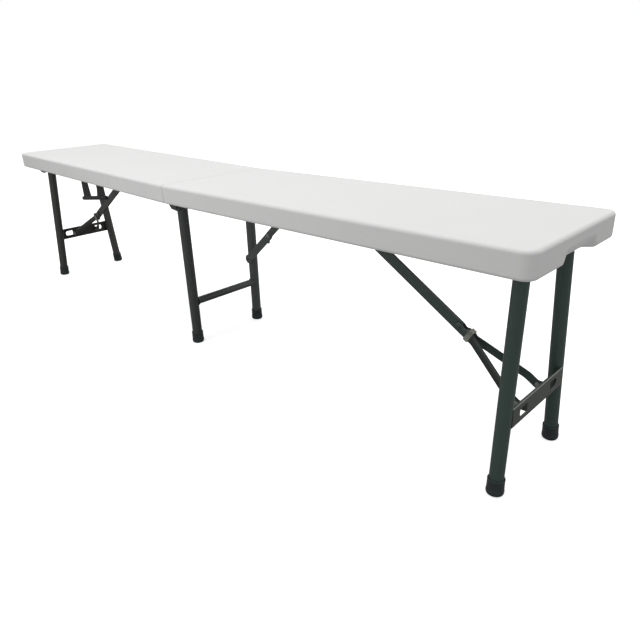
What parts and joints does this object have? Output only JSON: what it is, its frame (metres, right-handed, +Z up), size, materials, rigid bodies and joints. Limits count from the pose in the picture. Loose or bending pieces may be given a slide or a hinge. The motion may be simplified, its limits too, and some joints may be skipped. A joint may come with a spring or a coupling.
{
  "type": "folding bench",
  "caption": "White moulded bench seat that folds in half over dark steel legs with locking Y-shaped knee braces and a carry handle.",
  "frame": {"origin": "on the floor below the middle of the seam, at the centre of the object's footprint", "axes": "+X along the bench towards the half that carries the middle legs, +Y across it away from the carry handle, +Z up"},
  "size_m": [1.8294, 0.305, 0.4399],
  "materials": {
    "white_plastic": "fine moulded grain, satin",
    "dark_coat": "satin grey-green powder coat",
    "zinc": "dull zinc plate",
    "black_cap": "moulded, matte"
  },
  "bodies": {
    "right_half": {"right_seat_half": "white_plastic", "right_brace_bracket": "dark_coat", "right_brace_pin": "dark_coat", "right_hinge_plate_near": "dark_coat", "right_leg_bracket_near": "dark_coat", "right_leg_bolt_near": "dark_coat", "right_hinge_plate_far": "dark_coat", "right_leg_bracket_far": "dark_coat", "right_leg_bolt_far": "dark_coat", "fold_bolt_near": "dark_coat", "fold_bolt_far": "dark_coat", "middle_brace_bracket": "dark_coat", "middle_brace_pin": "dark_coat"},
    "right_frame": {"right_top_tube": "dark_coat", "right_cross_plate": "dark_coat", "right_leg_near": "dark_coat", "right_foot_near": "black_cap", "right_lug_rivet_near": "dark_coat", "right_leg_far": "dark_coat", "right_foot_far": "black_cap", "right_lug_rivet_far": "dark_coat"},
    "right_channel_arm": {"right_channel": "dark_coat"},
    "right_straps": {"right_strap_near": "dark_coat", "right_strap_far": "dark_coat"},
    "right_ring": {"right_lock_ring_near": "zinc", "right_lock_ring_far": "zinc"},
    "left_half": {"left_seat_half": "white_plastic", "left_brace_bracket": "dark_coat", "left_brace_pin": "dark_coat", "left_hinge_plate_near": "dark_coat", "left_leg_bracket_near": "dark_coat", "left_leg_bolt_near": "dark_coat", "left_hinge_plate_far": "dark_coat", "left_leg_bracket_far": "dark_coat", "left_leg_bolt_far": "dark_coat", "handle_rod": "dark_coat"},
    "left_frame": {"left_top_tube": "dark_coat", "left_cross_plate": "dark_coat", "left_leg_near": "dark_coat", "left_foot_near": "black_cap", "left_lug_rivet_near": "dark_coat", "left_leg_far": "dark_coat", "left_foot_far": "black_cap", "left_lug_rivet_far": "dark_coat"},
    "left_channel_arm": {"left_channel": "dark_coat"},
    "left_straps": {"left_strap_near": "dark_coat", "left_strap_far": "dark_coat"},
    "left_ring": {"left_lock_ring_near": "zinc", "left_lock_ring_far": "zinc"},
    "middle_frame": {"middle_leg_near": "dark_coat", "middle_leg_far": "dark_coat", "middle_foot_near": "black_cap", "middle_foot_far": "black_cap", "middle_rung": "dark_coat", "middle_link_rivet": "dark_coat"},
    "middle_upper": {"middle_upper_link": "dark_coat"},
    "middle_lower": {"middle_lower_link": "dark_coat"},
    "carry_handle": {"handle_hanger_outer": "black_cap", "handle_hanger_inner": "black_cap", "handle_grip": "black_cap"}
  },
  "joints": [
    {"name": "bench_fold", "type": "hinge", "parent": "right_half", "child": "left_half", "pos_m": [0, 0, 0.3724], "axis": [0, -1, 0], "range_deg": [0, 179.6]},
    {"name": "right_leg_fold", "type": "hinge", "parent": "right_half", "child": "right_frame", "pos_m": [0.86575, 0, 0.39738], "axis": [0, 1, 0], "range_deg": [0, 91.2]},
    {"name": "right_channel_swing", "type": "hinge", "parent": "right_half", "child": "right_channel_arm", "pos_m": [0.42961, 0, 0.40585], "axis": [0, -1, 0], "range_deg": [0, 29.7]},
    {"name": "right_strap_swing", "type": "hinge", "parent": "right_frame", "child": "right_straps", "pos_m": [0.86658, 0, 0.14329], "axis": [0, 1, 0], "range_deg": [0, 59.6]},
    {"name": "right_ring_slide", "type": "slide", "parent": "right_straps", "child": "right_ring", "axis": [-0.8572, 0, 0.5151], "range_m": [0, 0.012]},
    {"name": "left_leg_fold", "type": "hinge", "parent": "left_half", "child": "left_frame", "pos_m": [-0.86575, 0, 0.39738], "axis": [0, -1, 0], "range_deg": [0, 91.2]},
    {"name": "left_channel_swing", "type": "hinge", "parent": "left_half", "child": "left_channel_arm", "pos_m": [-0.42961, 0, 0.40585], "axis": [0, 1, 0], "range_deg": [0, 29.7]},
    {"name": "left_strap_swing", "type": "hinge", "parent": "left_frame", "child": "left_straps", "pos_m": [-0.86658, 0, 0.14329], "axis": [0, -1, 0], "range_deg": [0, 59.6]},
    {"name": "left_ring_slide", "type": "slide", "parent": "left_straps", "child": "left_ring", "axis": [0.8572, 0, 0.5151], "range_m": [0, 0.012]},
    {"name": "middle_leg_fold", "type": "hinge", "parent": "right_half", "child": "middle_frame", "pos_m": [0, 0, 0.3724], "axis": [0, -1, 0], "range_deg": [0, 90.9]},
    {"name": "middle_upper_swing", "type": "hinge", "parent": "right_half", "child": "middle_upper", "pos_m": [0.22193, 0, 0.37922], "axis": [0, 1, 0], "range_deg": [0, 34.1]},
    {"name": "middle_lower_swing", "type": "hinge", "parent": "middle_frame", "child": "middle_lower", "pos_m": [0, 0, 0.187], "axis": [0, -1, 0], "range_deg": [0, 55.5]},
    {"name": "handle_swing", "type": "hinge", "parent": "left_half", "child": "carry_handle", "pos_m": [-0.44739, -0.1236, 0.38408], "axis": [-0.9999, 0, 0.0127], "range_deg": [0, 90]}
  ],
  "couplings": [
    {"joint": "right_leg_fold", "follows": "bench_fold", "ratio": 0.5069},
    {"joint": "right_channel_swing", "follows": "bench_fold", "ratio": 0.16439},
    {"joint": "right_strap_swing", "follows": "bench_fold", "ratio": 0.33094},
    {"joint": "left_leg_fold", "follows": "bench_fold", "ratio": 0.5069},
    {"joint": "left_channel_swing", "follows": "bench_fold", "ratio": 0.16439},
    {"joint": "left_strap_swing", "follows": "bench_fold", "ratio": 0.33094},
    {"joint": "middle_leg_fold", "follows": "bench_fold", "ratio": 0.50516},
    {"joint": "middle_upper_swing", "follows": "bench_fold", "ratio": 0.18893},
    {"joint": "middle_lower_swing", "follows": "bench_fold", "ratio": 0.30814}
  ]
}
